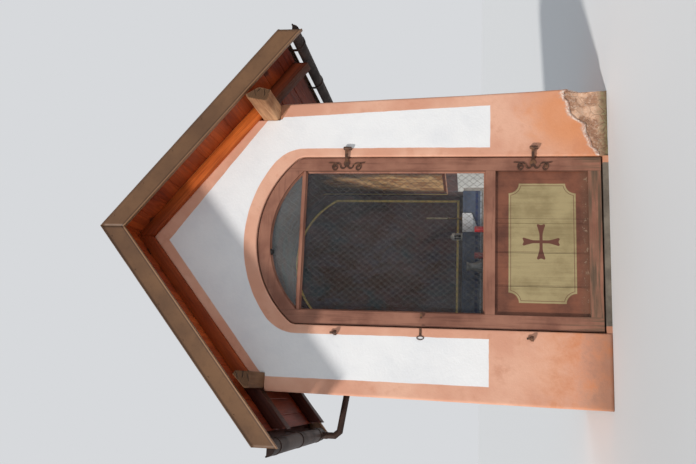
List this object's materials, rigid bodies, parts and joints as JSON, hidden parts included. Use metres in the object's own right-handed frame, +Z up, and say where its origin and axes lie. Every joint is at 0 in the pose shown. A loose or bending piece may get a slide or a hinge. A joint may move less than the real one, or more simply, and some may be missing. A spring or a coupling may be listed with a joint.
{
  "type": "wayside chapel",
  "caption": "Small roadside chapel: plastered masonry niche with an altar, glazed arched door on hinges, boarded gable roof with gutters and downpipes.",
  "frame": {"origin": "middle of the body's footprint, at ground level", "axes": "+Z up, +X to the right of someone who faces the door, +Y into the chapel"},
  "size_m": [2.438, 1.625, 2.8434],
  "materials": {
    "plaster": "painted lime plaster on rubble masonry",
    "floor_stone": "rough",
    "roof_wood": "oiled",
    "roof_metal": "satin",
    "rain_metal": "satin",
    "door_paint": "painted",
    "panel_paint": "painted",
    "clear_glass": "clear",
    "ironwork": "forged",
    "altar_linen": "woven",
    "red_glass": "clear",
    "white_glaze": "glossy",
    "brass_and_wax": "polished",
    "vase_glaze": "glossy"
  },
  "bodies": {
    "chapel": {"front_pier_left": "plaster", "front_pier_right": "plaster", "front_gable": "plaster", "side_wall_left": "plaster", "side_wall_right": "plaster", "rear_wall": "plaster", "niche_vault": "plaster", "altar": "plaster", "floor_slab": "floor_stone", "wall_plates": "roof_wood", "front_rafters": "roof_wood", "rear_rafters": "roof_wood", "roof_boards_left": "roof_wood", "roof_boards_right": "roof_wood", "roof_sheet_left": "roof_metal", "roof_sheet_right": "roof_metal", "ridge_cap": "roof_metal", "front_verge_left": "roof_metal", "front_verge_right": "roof_metal", "rear_verge_left": "roof_metal", "rear_verge_right": "roof_metal", "gutter_left": "rain_metal", "gutter_right": "rain_metal", "gutter_brackets": "rain_metal", "downpipe_left": "rain_metal", "downpipe_right": "rain_metal", "pipe_clips": "rain_metal", "wall_pintles": "ironwork", "latch": "ironwork", "altar_cloth": "altar_linen", "votive_lights": "red_glass", "lantern": "white_glaze", "candlestick": "brass_and_wax", "vase": "vase_glaze"},
    "door_leaf": {"door_stile_left": "door_paint", "door_stile_right": "door_paint", "door_arch_rail": "door_paint", "door_mid_rail": "door_paint", "door_bottom_rail": "door_paint", "door_transom_bar": "door_paint", "door_panel": "panel_paint", "main_glass": "clear_glass", "arch_glass": "clear_glass", "hinge_straps": "ironwork", "door_pull_and_catch": "ironwork"}
  },
  "joints": [
    {"name": "door_hinge", "type": "hinge", "parent": "chapel", "child": "door_leaf", "pos_m": [0.545, -0.542, 0], "axis": [0, 0, 1], "range_deg": [0, 105]}
  ]
}
